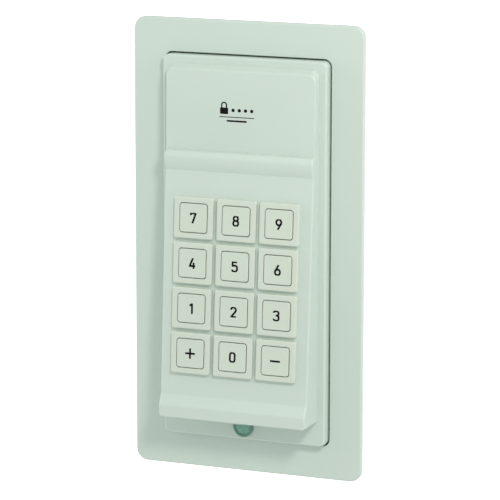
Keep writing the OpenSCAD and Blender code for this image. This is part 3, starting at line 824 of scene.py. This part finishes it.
def cut_windows(bm):
    """Cuts the keypad face along the sides of every key's window and takes the windows out."""
    half = SLEEVE_W / 2 + 0.1
    start = Vector((0, FACE_TOP_Z, FACE_TOP_H))
    across = [(Vector(((column - 1) * KEY_PITCH + side * half, 0, 0)), Vector((1, 0, 0)))
              for column in range(3) for side in (-1, 1)]
    up_face = Vector((0, math.cos(TILT), math.sin(TILT)))
    along = [(start - up_face * (MARGIN_TOP + row * KEY_PITCH + side * half), up_face)
             for row in range(4) for side in (-1, 1)]
    for place, normal in across + along:
        faces = keypad_faces(bm)
        geometry = {*faces, *[e for f in faces for e in f.edges], *[v for f in faces for v in f.verts]}
        bmesh.ops.bisect_plane(bm, geom=list(geometry), dist=1e-4, plane_co=place, plane_no=normal)
    windows = [f for f in keypad_faces(bm) if window_at(f.calc_center_median(), half)]
    bmesh.ops.delete(bm, geom=windows, context="FACES")


def window_at(point, reach):
    """The key whose window holds a point of the keypad face, or None."""
    run = (FACE_TOP_Z - point.y) / math.cos(TILT)
    for name, row, column in KEYS:
        across = point.x - (column - 1) * KEY_PITCH
        down = run - MARGIN_TOP - row * KEY_PITCH
        if abs(across) < reach and abs(down) < reach:
            return name
    return None


def join_in(bm, other):
    """Moves another bmesh's geometry into bm."""
    carrier = bpy.data.meshes.new("carrier")
    other.to_mesh(carrier)
    other.free()
    bm.from_mesh(carrier)
    bpy.data.meshes.remove(carrier)


def open_edges_at(bm, height):
    """Edges with one face at a height above the flat frame."""
    return [e for e in bm.edges if e.is_boundary and all(abs(v.co.z - height) < 0.01 for v in e.verts)]


# Operators


class KEYPAD_OT_trim_frame(bpy.types.Operator):
    """Build the trim frame with its rounded edge and its snap-in collar"""

    bl_idname = "keypad.trim_frame"
    bl_label = "Trim frame"

    def execute(self, context):
        edge = mm(context.scene.keypad_sizes.frame_edge)
        low, high = box_mm("cover_frame")
        width, length, front, back = high.x - low.x, high.y - low.y, high.z, low.z
        opening_w, opening_l = HOUSING_W + 2 * FRAME_GAP, HOUSING_L + 2 * FRAME_GAP
        opening_r = HOUSING_R + FRAME_GAP
        bm = bmesh.new()

        def outer(inset, height):
            return ring(bm, width - 2 * inset, length - 2 * inset, FRAME_R - inset, height)

        def around_opening(wider, height):
            return ring(bm, opening_w + 2 * wider, opening_l + 2 * wider, opening_r + wider, height)

        rings = [around_opening(0, back)]
        for inset, height in ((COLLAR_CHAMFER, back), (0, back + COLLAR_CHAMFER), (0, 0)):
            rings.append(around_opening(COLLAR_T - inset, height))
        rings.append(outer(FRAME_CHAMFER, 0))
        rings.append(outer(0, FRAME_CHAMFER))
        for inset, rise in quarter(edge, 5):
            rings.append(outer(inset, front - edge + rise))
        for inset, rise in reversed(list(quarter(OPENING_EDGE, 3))):
            rings.append(around_opening(inset, front - OPENING_EDGE + rise))
        skin(bm, rings + [rings[0]])
        self.add_barbs(bm, opening_w / 2 + COLLAR_T)
        piece = finish_piece(
            "trim_frame", bm, WALL, shell_finish(context), "panel", ["cover_frame"]
        )
        weighted(piece)
        return {"FINISHED"}

    def add_barbs(self, bm, collar_x):
        """Adds the four barbs that snap into the wall box."""
        for side in (-1, 1):
            for place in (-BARB_Z, BARB_Z):
                made = bmesh.ops.create_cube(bm, size=1)["verts"]
                bmesh.ops.scale(bm, vec=BARB_SIZE, verts=made)
                centre = (side * (collar_x + BARB_OUT), place, BARB_H + BARB_SIZE[2] / 2)
                bmesh.ops.translate(bm, vec=centre, verts=made)
                tip = [v for v in made if v.co.z < BARB_H + 0.1 and v.co.x * side > collar_x + BARB_OUT]
                bmesh.ops.translate(bm, vec=(-side * BARB_SLOPE, 0, 0), verts=tip)


class KEYPAD_OT_front_cover(bpy.types.Operator):
    """Build the front cover: rim, ledge and raised body with its brow, windows and lip"""

    bl_idname = "keypad.front_cover"
    bl_label = "Front cover"

    def execute(self, context):
        sizes = context.scene.keypad_sizes
        rim, seam = mm(sizes.rim_edge), mm(sizes.seam)
        bm = body_skin(0, RIM_H, CREASE_R, mm(sizes.body_edge))
        inner = body_skin(COVER_T, RIM_H - COVER_T, 0, 0)
        join_in(bm, inner)
        for name, row, column in KEYS:
            edges = [e for e in bm.edges if e.is_boundary
                     and window_at((e.verts[0].co + e.verts[1].co) / 2, SLEEVE_W / 2 + 0.3) == name]
            bmesh.ops.bridge_loops(bm, edges=edges)
        outer_foot = open_edges_at(bm, RIM_H)
        inner_foot = open_edges_at(bm, RIM_H - COVER_T)
        outside, tongue = [], TONGUE_INSET
        for inset, rise in reversed(list(quarter(rim, 5))):
            outside.append((inset, RIM_H - rim + rise))
        outside += [(0, SEAM_H + seam), (seam, SEAM_H), (tongue, SEAM_H), (tongue, TONGUE_END_H),
                    (tongue + TONGUE_T, TONGUE_END_H), (tongue + TONGUE_T, RIM_H - COVER_T)]
        rings = [ring(bm, HOUSING_W - 2 * inset, HOUSING_L - 2 * inset, max(HOUSING_R - inset, 0.5), height)
                 for inset, height in outside]
        skin(bm, [outer_foot, *rings, inner_foot])
        self.lean_sides(bm)
        self.add_bosses(bm)
        piece = finish_piece(
            "cover_shell", bm, WALL, shell_finish(context), "panel", ["front_cover"]
        )
        weighted(piece)
        return {"FINISHED"}

    def lean_sides(self, bm):
        """Leans the body's side walls in towards its front."""
        for vert in bm.verts:
            if vert.co.z > RIM_H:
                vert.co.x *= 1 - SIDE_DRAFT / (BODY_W / 2) * (vert.co.z - RIM_H) / (LIP_H + 1 - RIM_H)

    def add_bosses(self, bm):
        """Adds the posts behind the keypad face that the key board is screwed to."""
        for column in (-0.5, 0.5):
            for row in (0.5, 1.5, 2.5):
                place = (
                    Matrix.Translation((0, FACE_TOP_Z, FACE_TOP_H)) @ Matrix.Rotation(-TILT, 4, "X")
                    @ Matrix.Translation((column * KEY_PITCH, -(MARGIN_TOP + row * KEY_PITCH), -BOSS_DEPTH))
                )
                bmesh.ops.create_cone(
                    bm, cap_ends=True, segments=20, radius1=BOSS_R, radius2=BOSS_R, depth=BOSS_L,
                    matrix=place,
                )


class KEYPAD_OT_bezels(bpy.types.Operator):
    """Build the twelve key bezels with their sleeves"""

    bl_idname = "keypad.bezels"
    bl_label = "Key bezels"

    def execute(self, context):
        edge = mm(context.scene.keypad_sizes.bezel_edge)
        for name, row, column in KEYS:
            bm = bmesh.new()
            rings = [square(bm, BEZEL_W, BEZEL_R, 0)]
            for inset, rise in quarter(edge, 4):
                radius = BEZEL_R - inset * BEZEL_R_SHARE
                rings.append(square(bm, BEZEL_W - 2 * inset, radius, BEZEL_TOP - edge + rise))
            for inset, rise in reversed(list(quarter(WELL_EDGE, 3))):
                rings.append(square(bm, WELL_W + 2 * inset, WELL_R + inset, BEZEL_TOP - WELL_EDGE + rise))
            rings.append(square(bm, WELL_W, WELL_R, WEB_TOP))
            rings.append(circle(bm, STEM_R + STEM_GAP, WEB_TOP))
            rings.append(circle(bm, STEM_R + STEM_GAP, WEB_END))
            rings.append(square(bm, CHAMBER_W, BEZEL_R, WEB_END))
            rings.append(square(bm, CHAMBER_W, BEZEL_R, SLEEVE_END))
            rings.append(square(bm, SLEEVE_W, BEZEL_R, SLEEVE_END))
            rings.append(square(bm, SLEEVE_W, BEZEL_R, 0))
            skin(bm, rings + [rings[0]])
            piece = finish_piece(f"bezel_{name}", bm, at_key(row, column), bezel_finish(context),
                                 "panel", [f"key_housing_{name}"])
            weighted(piece)
        return {"FINISHED"}


class KEYPAD_OT_keycaps(bpy.types.Operator):
    """Build the twelve keycaps: dished top, rounded edge, hollow skirt and guide stem"""

    bl_idname = "keypad.keycaps"
    bl_label = "Keycaps"

    def execute(self, context):
        sizes = context.scene.keypad_sizes
        edge, dish = mm(sizes.cap_edge), mm(sizes.cap_dish)
        colour = context.scene.keypad_colours.caps
        finish = plastic("cap_plastic", colour, 0.1, 0.38, 0.03)
        flat = CAP_W - 2 * edge
        for name, row, column in KEYS:
            bm = bmesh.new()
            rings = []
            for share in DISH_RINGS:
                radius = max(CAP_R - edge, flat * share / 2 * (1 - share * 0.85))
                rings.append(square(bm, flat * share, radius * 0.98, CAP_TOP - dish * (1 - share**2)))
            for inset, rise in reversed(list(quarter(edge, 4))):
                rings.append(square(bm, CAP_W - 2 * inset, CAP_R - inset, CAP_TOP - edge + rise))
            rings.append(square(bm, CAP_W, CAP_R, SKIRT_END))
            inside = CAP_W - 2 * CAP_WALL
            rings.append(square(bm, inside, CAP_R / 2, SKIRT_END))
            rings.append(square(bm, inside, CAP_R / 2, CAP_CEILING))
            rings.append(circle(bm, STEM_R, CAP_CEILING))
            rings.append(circle(bm, STEM_R, STEM_END + STEM_CHAMFER))
            rings.append(circle(bm, STEM_R - STEM_CHAMFER, STEM_END))
            skin(bm, rings)
            cap(bm, rings[0])
            cap(bm, rings[-1])
            piece = finish_piece(f"cap_{name}", bm, at_key(row, column), finish, f"key_{name}",
                                 [f"keycap_{name}"])
            weighted(piece)
        return {"FINISHED"}


def stroke(bm, points, closed, low, high):
    """Adds one stroke of a legend as an upright ribbon with rounded corners."""
    floor = [bm.verts.new((x, y, low)) for x, y, _ in points]
    pairs = list(zip(floor, floor[1:])) + ([(floor[-1], floor[0])] if closed else [])
    edges = [bm.edges.new(pair) for pair in pairs]
    pulled = bmesh.ops.extrude_edge_only(bm, edges=edges)["geom"]
    bmesh.ops.translate(bm, vec=(0, 0, high - low), verts=verts_of(pulled))
    for vert, (_, _, rounding) in zip(floor, points):
        upright = [e for e in vert.link_edges if abs(e.verts[0].co.z - e.verts[1].co.z) > (high - low) / 2]
        if rounding and upright:
            round_off(bm, upright, rounding, 8)


def thicken(piece, width):
    """Gives upright ribbons their width, evenly to both sides."""
    modifier = piece.modifiers.new("Stroke", "SOLIDIFY")
    modifier.thickness = width
    modifier.offset = 0
    modifier.use_even_offset = True
    modifier.use_rim = True


class KEYPAD_OT_legends(bpy.types.Operator):
    """Print the numerals and signs on the keycaps"""

    bl_idname = "keypad.legends"
    bl_label = "Legends"

    def execute(self, context):
        sizes = context.scene.keypad_sizes
        surface = CAP_TOP - mm(sizes.cap_dish)
        for name, row, column in KEYS:
            bm = bmesh.new()
            for closed, points in STROKES[name]:
                stroke(bm, points, closed, surface - INK_SINK, surface + mm(sizes.ink))
            piece = finish_piece(f"legend_{name}", bm, at_key(row, column), ink_finish(context),
                                 f"key_{name}")
            thicken(piece, sizes.stroke)
        return {"FINISHED"}


class KEYPAD_OT_key_springs(bpy.types.Operator):
    """Wind the return spring under each keycap"""

    bl_idname = "keypad.key_springs"
    bl_label = "Key springs"

    def execute(self, context):
        turns = context.scene.keypad_sizes.spring_turns
        radius = (STEM_R + CAP_W / 2 - CAP_WALL) / 2
        low, high = WEB_TOP + SPRING_WIRE_R, CAP_CEILING - SPRING_WIRE_R
        steps = int(turns * SPRING_STEPS)
        upright = Matrix.Rotation(math.radians(90), 3, "X")
        for name, row, column in KEYS:
            bm = bmesh.new()
            section = bmesh.ops.create_circle(bm, cap_ends=True, segments=8, radius=SPRING_WIRE_R)["verts"]
            bmesh.ops.rotate(bm, cent=(0, 0, 0), matrix=upright, verts=section)
            bmesh.ops.translate(bm, vec=(radius, 0, low), verts=section)
            bmesh.ops.spin(
                bm, geom=list(bm.faces), cent=(0, 0, 0), axis=(0, 0, 1), angle=turns * 2 * math.pi,
                steps=steps, dvec=(0, 0, (high - low) / steps), use_duplicate=False,
            )
            place = at_key(row, column)
            piece = finish_piece(f"spring_{name}", bm, place, steel_finish(context), "panel",
                                 [f"key_spring_{name}"])
            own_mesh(piece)
        return {"FINISHED"}


class KEYPAD_OT_lamp_lens(bpy.types.Operator):
    """Build the lamp's lens: rounded rim, field of small prisms and light guide"""

    bl_idname = "keypad.lamp_lens"
    bl_label = "Lamp lens"

    def execute(self, context):
        colour = context.scene.keypad_colours.lens
        prism = mm(context.scene.keypad_sizes.prism)
        finish = finish_named("tinted_lens", tinted_lens, colour, (0.0, LENS_Z * MM), LENS_R * MM)
        field_r = LENS_R * FIELD_SHARE
        bm = bmesh.new()
        outline = [
            (GUIDE_R - GUIDE_CHAMFER, LENS_BACK),
            (GUIDE_R, LENS_BACK + GUIDE_CHAMFER),
            (GUIDE_R, 0),
            (LENS_R, 0),
            *((LENS_R - inset, LENS_FRONT - LENS_EDGE + rise) for inset, rise in quarter(LENS_EDGE, 4)),
            (field_r + FIELD_CHAMFER, LENS_FRONT),
            (field_r, LENS_FRONT - FIELD_CHAMFER),
            (field_r, FIELD_FLOOR),
        ]
        rings = [circle(bm, radius, height, 48) for radius, height in outline]
        skin(bm, rings)
        cap(bm, rings[0])
        cap(bm, rings[-1])
        self.add_prisms(bm, field_r, prism)
        place = WALL @ Matrix.Translation((0, LENS_Z, RIM_H))
        finish_piece("lens", bm, place, finish, "panel", ["lamp_lens"])
        return {"FINISHED"}

    def add_prisms(self, bm, field_r, prism):
        """Fills the lens with a closed plate of square pyramids."""
        cells = 2 * math.ceil(field_r / prism)
        grid = bmesh.new()
        bmesh.ops.create_grid(grid, x_segments=cells, y_segments=cells, size=cells * prism / 2)
        outside = [f for f in grid.faces if f.calc_center_median().length > field_r - prism * 0.35]
        bmesh.ops.delete(grid, geom=outside, context="FACES")
        turned = Matrix.Rotation(PRISM_TURN, 3, "Z")
        bmesh.ops.rotate(grid, cent=(0, 0, 0), matrix=turned, verts=grid.verts)
        bmesh.ops.translate(grid, vec=(0, 0, PRISM_PLATE_H), verts=grid.verts)
        bmesh.ops.recalc_face_normals(grid, faces=grid.faces)
        field = list(grid.faces)
        pulled = bmesh.ops.extrude_face_region(grid, geom=field)["geom"]
        bmesh.ops.translate(grid, vec=(0, 0, PRISM_PLATE_T), verts=verts_of(pulled))
        top = [f for f in pulled if isinstance(f, bmesh.types.BMFace)]
        bmesh.ops.recalc_face_normals(grid, faces=grid.faces)
        bmesh.ops.poke(grid, faces=top, offset=prism * PRISM_RISE)
        join_in(bm, grid)


class KEYPAD_OT_pictogram(bpy.types.Operator):
    """Print a padlock, four dots and two thin rules on the upper panel"""

    bl_idname = "keypad.pictogram"
    bl_label = "Pictogram"

    def execute(self, context):
        low, high = -SIGN_SINK, mm(context.scene.keypad_sizes.ink)
        bm = bmesh.new()
        for width, length, radius, across, up in SIGN_PLATES:
            self.add_plate(bm, width, length, radius, (across, up), low, high)
        for dot in range(DOT_COUNT):
            made = bmesh.ops.create_cone(bm, cap_ends=True, segments=32, radius1=DOT_R, radius2=DOT_R,
                                         depth=high - low)["verts"]
            place = (DOT_START[0] + dot * DOT_PITCH, DOT_START[1], (high + low) / 2)
            bmesh.ops.translate(bm, vec=place, verts=made)
        place = WALL @ Matrix.Translation((*SIGN_PLACE, PANEL_H))
        finish_piece("pictogram", bm, place, ink_finish(context), "panel")
        shackle = bmesh.new()
        stroke(shackle, SHACKLE, False, low, high)
        piece = finish_piece("pictogram_shackle", shackle, place, ink_finish(context), "panel")
        thicken(piece, SHACKLE_WIRE)
        return {"FINISHED"}

    def add_plate(self, bm, width, length, radius, centre, low, high):
        """Adds a rounded plate of the sign."""
        rings = [ring(bm, width, length, radius, height, centre[1]) for height in (low, high)]
        verts = list({v for edges in rings for e in edges for v in e.verts})
        bmesh.ops.translate(bm, vec=(centre[0], 0, 0), verts=verts)
        skin(bm, rings)
        cap(bm, rings[0])
        cap(bm, rings[1])


def softened_copy(name, node, edge, material):
    """A CAD node's own shape with its doubled corners merged and its sharp edges slightly rounded."""
    bm = bmesh.new()
    bm.from_mesh(frame["nodes"][node].data)
    bm.transform(Matrix.Scale(1 / MM, 4))
    bmesh.ops.remove_doubles(bm, verts=bm.verts, dist=1e-3)
    bmesh.ops.dissolve_limit(bm, angle_limit=math.radians(1), verts=bm.verts, edges=bm.edges)
    piece = finish_piece(name, bm, Matrix.Scale(MM, 4), material, "panel", [node], closed=False)
    modifier = piece.modifiers.new("Soft edges", "BEVEL")
    modifier.width = edge
    modifier.segments = 2
    modifier.limit_method = "ANGLE"
    modifier.angle_limit = math.radians(50)
    weighted(piece)


class KEYPAD_OT_housing(bpy.types.Operator):
    """Finish the wall box and the tray with soft edges and moulded plastic"""

    bl_idname = "keypad.housing"
    bl_label = "Wall box and tray"

    def execute(self, context):
        colours = context.scene.keypad_colours
        box = plastic("box_plastic", colours.box, 0.2, 0.5, 0.12)
        softened_copy("wall_box", "flush_box", BOX_EDGE, box)
        softened_copy("tray", "housing_base", TRAY_EDGE, shell_finish(context))
        return {"FINISHED"}


class KEYPAD_OT_inner_parts(bpy.types.Operator):
    """Give the boards, screws, seal, switch and cable inside their finishes"""

    bl_idname = "keypad.inner_parts"
    bl_label = "Inner parts"

    def execute(self, context):
        colours = context.scene.keypad_colours
        black = plastic("component_plastic", (0.02, 0.02, 0.022), 0.15, 0.45, 0.15)
        board = finish_named("circuit_board", circuit_board, colours.board)
        rubber = finish_named("soft_rubber", soft_rubber, colours.rubber)
        steel = steel_finish(context)
        finishes = {
            "base_screws": steel,
            "cover_screw": steel,
            "key_board_screws": steel,
            "board_screws": steel,
            "terminal_screws": steel,
            "cover_seal": rubber,
            "cable_grommet": rubber,
            "key_board": board,
            "main_board": board,
            "processor_chip": black,
            "sounder": black,
            "tamper_switch": black,
            "ribbon_connectors": black,
            "status_led": plastic("lamp_body", (0.2, 0.62, 0.28), 0.02, 0.2, 0.05),
            "contact_domes": finish_named("gold_contact", gold_contact, (0.6, 0.45, 0.15)),
            "relay": plastic("relay_plastic", (0.7, 0.66, 0.56), 0.06, 0.3, 0.04),
            "terminal_block": plastic("terminal_plastic", (0.05, 0.28, 0.14), 0.08, 0.35, 0.08),
            "tamper_plunger": plastic("plunger_plastic", (0.75, 0.72, 0.63), 0.05, 0.35, 0.04),
            "ribbon_cable": finish_named("striped_ribbon", striped_ribbon, (0.3, 0.32, 0.34)),
        }
        shown = {name for name, node in frame["nodes"].items() if not node.hide_render}
        if shown != set(finishes):
            raise RuntimeError(f"these nodes have no finish: {sorted(shown ^ set(finishes))}")
        for name, finish in finishes.items():
            slots = frame["nodes"][name].data.materials
            slots.clear()
            slots.append(finish)
        return {"FINISHED"}


class KEYPAD_OT_stage(bpy.types.Operator):
    """Set the floor, the soft studio light and the camera"""

    bl_idname = "keypad.stage"
    bl_label = "Stage"

    def execute(self, context):
        stage = context.scene.keypad_stage
        self.add_floor(stage)
        self.add_surround(context, stage)
        self.add_light(stage.key_power, *KEY_LIGHT)
        self.add_light(stage.side_power * RIGHT_SHARE, *RIGHT_LIGHT)
        self.add_light(stage.side_power, *LEFT_LIGHT)
        self.add_light(stage.side_power * TOP_SHARE, *TOP_LIGHT)
        self.add_camera(context, stage)
        context.scene.view_settings.view_transform = "Standard"
        return {"FINISHED"}

    def add_floor(self, stage):
        bm = bmesh.new()
        bmesh.ops.create_grid(bm, x_segments=1, y_segments=1, size=FLOOR_HALF)
        bmesh.ops.translate(bm, vec=(0, 0, -stage.floor_drop), verts=bm.verts)
        mesh = bpy.data.meshes.new("floor")
        bm.to_mesh(mesh)
        bm.free()
        mesh.materials.append(studio_paper("studio_paper", PAPER, stage.floor_glow))
        floor = bpy.data.objects.new("floor", mesh)
        bpy.context.scene.collection.objects.link(floor)

    def add_surround(self, context, stage):
        world = bpy.data.worlds.new("surround")
        world.use_nodes = True
        background = world.node_tree.nodes["Background"]
        background.inputs["Color"].default_value = SURROUND
        background.inputs["Strength"].default_value = stage.surround
        context.scene.world = world

    def add_light(self, power, name, azimuth, elevation, distance, size, colour):
        """Adds a round soft light that looks at the panel, its angles in degrees from straight ahead."""
        turn, lift = math.radians(azimuth), math.radians(elevation)
        back = Vector((math.sin(turn) * math.cos(lift), -math.cos(turn) * math.cos(lift), math.sin(lift)))
        data = bpy.data.lights.new(name, "AREA")
        data.shape = "DISK"
        data.size = size
        data.energy = power
        data.color = colour
        light = bpy.data.objects.new(name, data)
        light.location = Vector((0, WALL_Y, 0)) + back * distance
        light.rotation_euler = (-back).to_track_quat("-Z", "Y").to_euler()
        bpy.context.scene.collection.objects.link(light)

    def add_camera(self, context, stage):
        data = bpy.data.cameras.new("camera")
        data.sensor_width = SENSOR_W
        data.lens = stage.lens
        data.clip_start, data.clip_end = CLIP
        camera = bpy.data.objects.new("camera", data)
        context.scene.collection.objects.link(camera)
        camera.matrix_world = (
            Matrix.Translation(stage.camera_place)
            @ Matrix.Rotation(stage.yaw, 4, "Z")
            @ Matrix.Rotation(math.pi / 2 - stage.pitch, 4, "X")
            @ Matrix.Rotation(stage.roll, 4, "Z")
        )
        context.scene.camera = camera


class KEYPAD_PT_panel(bpy.types.Panel):
    bl_label = "Alarm keypad panel"
    bl_idname = "KEYPAD_PT_panel"
    bl_space_type = "VIEW_3D"
    bl_region_type = "UI"
    bl_category = "Keypad"

    def draw(self, context):
        for group in (context.scene.keypad_sizes, context.scene.keypad_colours, context.scene.keypad_stage):
            column = self.layout.column(align=True)
            for name in group.__annotations__:
                column.prop(group, name)
        for piece in PIECES:
            self.layout.operator(piece.bl_idname)


GROUPS = {"keypad_sizes": KeypadSizes, "keypad_colours": KeypadColours, "keypad_stage": KeypadStage}
PIECES = (
    KEYPAD_OT_trim_frame,
    KEYPAD_OT_front_cover,
    KEYPAD_OT_bezels,
    KEYPAD_OT_keycaps,
    KEYPAD_OT_legends,
    KEYPAD_OT_key_springs,
    KEYPAD_OT_lamp_lens,
    KEYPAD_OT_pictogram,
    KEYPAD_OT_housing,
    KEYPAD_OT_inner_parts,
    KEYPAD_OT_stage,
)


def register():
    for cls in (*GROUPS.values(), *PIECES, KEYPAD_PT_panel):
        bpy.utils.register_class(cls)
    for name, group in GROUPS.items():
        setattr(bpy.types.Scene, name, PointerProperty(type=group))


def unregister():
    for name in GROUPS:
        delattr(bpy.types.Scene, name)
    for cls in reversed((*GROUPS.values(), *PIECES, KEYPAD_PT_panel)):
        bpy.utils.unregister_class(cls)


def main():
    register()
    bpy.ops.keypad.trim_frame()
    bpy.ops.keypad.front_cover()
    bpy.ops.keypad.bezels()
    bpy.ops.keypad.keycaps()
    bpy.ops.keypad.legends()
    bpy.ops.keypad.key_springs()
    bpy.ops.keypad.lamp_lens()
    bpy.ops.keypad.pictogram()
    bpy.ops.keypad.housing()
    bpy.ops.keypad.inner_parts()
    bpy.ops.keypad.stage()


if __name__ == "__main__":
    main()
